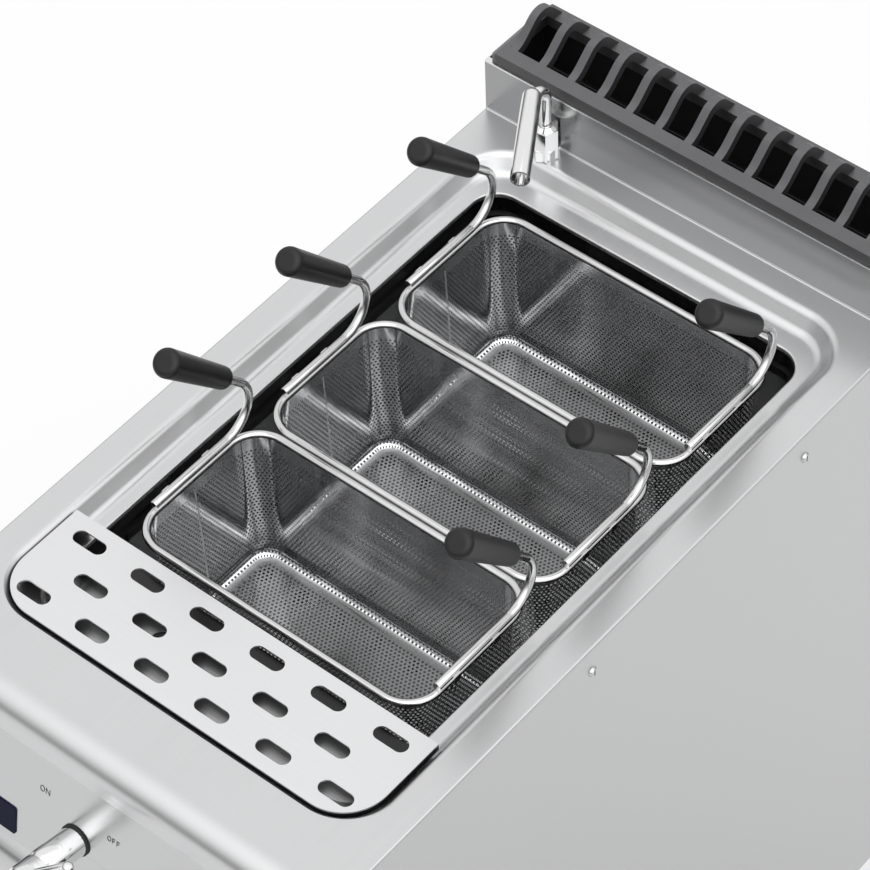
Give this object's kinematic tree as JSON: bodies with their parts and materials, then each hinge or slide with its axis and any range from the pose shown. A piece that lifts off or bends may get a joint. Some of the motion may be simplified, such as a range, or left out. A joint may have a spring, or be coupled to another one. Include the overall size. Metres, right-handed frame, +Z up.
{
  "type": "pasta cooker",
  "caption": "Floor-standing gas pasta cooker: pressed worktop round a water tank with lift-out perforated baskets, a drain plate, a swivel filling spout and a flue grille over a cabinet.",
  "frame": {"origin": "middle of the overall box, at the floor under the feet", "axes": "+X to the cook's right, +Y to the back, +Z up; the front with the tap and the door faces -Y"},
  "size_m": [0.404, 0.81, 0.9771],
  "materials": {
    "worktop": "brushed stainless sheet",
    "tank": "satin stainless sheet",
    "drain_plate": "satin stainless sheet",
    "basket_mesh": "perforated stainless sheet",
    "wire": "polished stainless wire",
    "grip": "matt black moulded plastic",
    "spout": "polished tube",
    "grille": "grey enamelled casting",
    "side": "satin stainless sheet",
    "badge": "blank navy plate",
    "gasket": "black rubber",
    "tap": "chromed brass",
    "valve": "cast brass",
    "knob": "black moulded plastic",
    "button": "black moulded plastic",
    "burner": "heat-blued steel",
    "copper": "copper pipe",
    "lever": "red dipped lever",
    "foot": "stainless foot"
  },
  "bodies": {
    "cabinet": {"worktop": "worktop", "tank": "tank", "overflow_pipe": "wire", "raised_bottom": "tank", "spout_nut": "spout", "flue_housing": "worktop", "flue_duct": "burner", "side_panel_left": "side", "side_panel_right": "side", "side_screws": "wire", "rear_panel": "side", "base_shelf": "side", "control_panel": "worktop", "name_plate": "badge", "tap_gasket": "gasket", "tap_barrel": "tap", "tap_valve": "valve", "gas_valve": "valve", "igniter_body": "wire", "hinge_upper": "side", "hinge_lower": "side", "door_catch": "button", "burner_box": "burner", "burner": "burner", "gas_feed": "copper", "gas_inlet": "copper", "pilot": "wire", "water_feed": "copper", "water_inlet": "copper", "drain_valve": "valve", "drain_pipe": "wire", "leg_front_left": "side", "leg_front_right": "side", "leg_rear_left": "side", "leg_rear_right": "side"},
    "basket_front": {"basket_shell_front": "basket_mesh", "basket_rim_front": "wire", "basket_rods_front": "wire", "basket_grips_front": "grip"},
    "basket_middle": {"basket_shell_middle": "basket_mesh", "basket_rim_middle": "wire", "basket_rods_middle": "wire", "basket_grips_middle": "grip"},
    "basket_rear": {"basket_shell_rear": "basket_mesh", "basket_rim_rear": "wire", "basket_rods_rear": "wire", "basket_grips_rear": "grip"},
    "drain_plate": {"drain_plate": "drain_plate"},
    "spout": {"spout_tube": "spout"},
    "grille": {"flue_grille": "grille"},
    "tap_lever": {"tap_lever": "tap"},
    "gas_knob": {"gas_knob": "knob"},
    "igniter_button": {"igniter_button": "button"},
    "door": {"door": "side", "door_handle": "worktop"},
    "drain_lever": {"drain_lever": "lever"},
    "foot_front_left": {"foot_front_left": "foot"},
    "foot_front_right": {"foot_front_right": "foot"},
    "foot_rear_left": {"foot_rear_left": "foot"},
    "foot_rear_right": {"foot_rear_right": "foot"}
  },
  "joints": [
    {"name": "basket_front_lift", "type": "slide", "parent": "cabinet", "child": "basket_front", "axis": [0, 0, 1], "range_m": [0, 0.3]},
    {"name": "basket_middle_lift", "type": "slide", "parent": "cabinet", "child": "basket_middle", "axis": [0, 0, 1], "range_m": [0, 0.3]},
    {"name": "basket_rear_lift", "type": "slide", "parent": "cabinet", "child": "basket_rear", "axis": [0, 0, 1], "range_m": [0, 0.07]},
    {"name": "drain_plate_lift", "type": "slide", "parent": "cabinet", "child": "drain_plate", "axis": [0, 0, 1], "range_m": [0, 0.1]},
    {"name": "grille_lift", "type": "slide", "parent": "cabinet", "child": "grille", "axis": [0, 0, 1], "range_m": [0, 0.04]},
    {"name": "spout_swivel", "type": "hinge", "parent": "cabinet", "child": "spout", "pos_m": [-0.13, 0.319, 0.85], "axis": [0, 0, 1], "range_deg": [-10, 60]},
    {"name": "tap_turn", "type": "hinge", "parent": "cabinet", "child": "tap_lever", "pos_m": [-0.021, -0.3463, 0.76204], "axis": [0, -0.9833, 0.1822], "range_deg": [0, 90]},
    {"name": "knob_turn", "type": "hinge", "parent": "cabinet", "child": "gas_knob", "pos_m": [0.112, -0.3463, 0.76204], "axis": [0, -0.9833, 0.1822], "range_deg": [0, 180]},
    {"name": "igniter_push", "type": "slide", "parent": "cabinet", "child": "igniter_button", "axis": [0, 0.9833, -0.1822], "range_m": [0, 0.005], "stiffness_N_per_m": 300},
    {"name": "door_swing", "type": "hinge", "parent": "cabinet", "child": "door", "pos_m": [-0.186, -0.331, 0.435], "axis": [0, 0, -1], "range_deg": [0, 110]},
    {"name": "drain_lever_turn", "type": "hinge", "parent": "cabinet", "child": "drain_lever", "pos_m": [0, -0.122, 0.573], "axis": [0, 1, 0], "range_deg": [0, 90]},
    {"name": "foot_front_left_screw", "type": "slide", "parent": "cabinet", "child": "foot_front_left", "axis": [0, 0, -1], "range_m": [0, 0.03]},
    {"name": "foot_front_right_screw", "type": "slide", "parent": "cabinet", "child": "foot_front_right", "axis": [0, 0, -1], "range_m": [0, 0.03]},
    {"name": "foot_rear_left_screw", "type": "slide", "parent": "cabinet", "child": "foot_rear_left", "axis": [0, 0, -1], "range_m": [0, 0.03]},
    {"name": "foot_rear_right_screw", "type": "slide", "parent": "cabinet", "child": "foot_rear_right", "axis": [0, 0, -1], "range_m": [0, 0.03]}
  ]
}
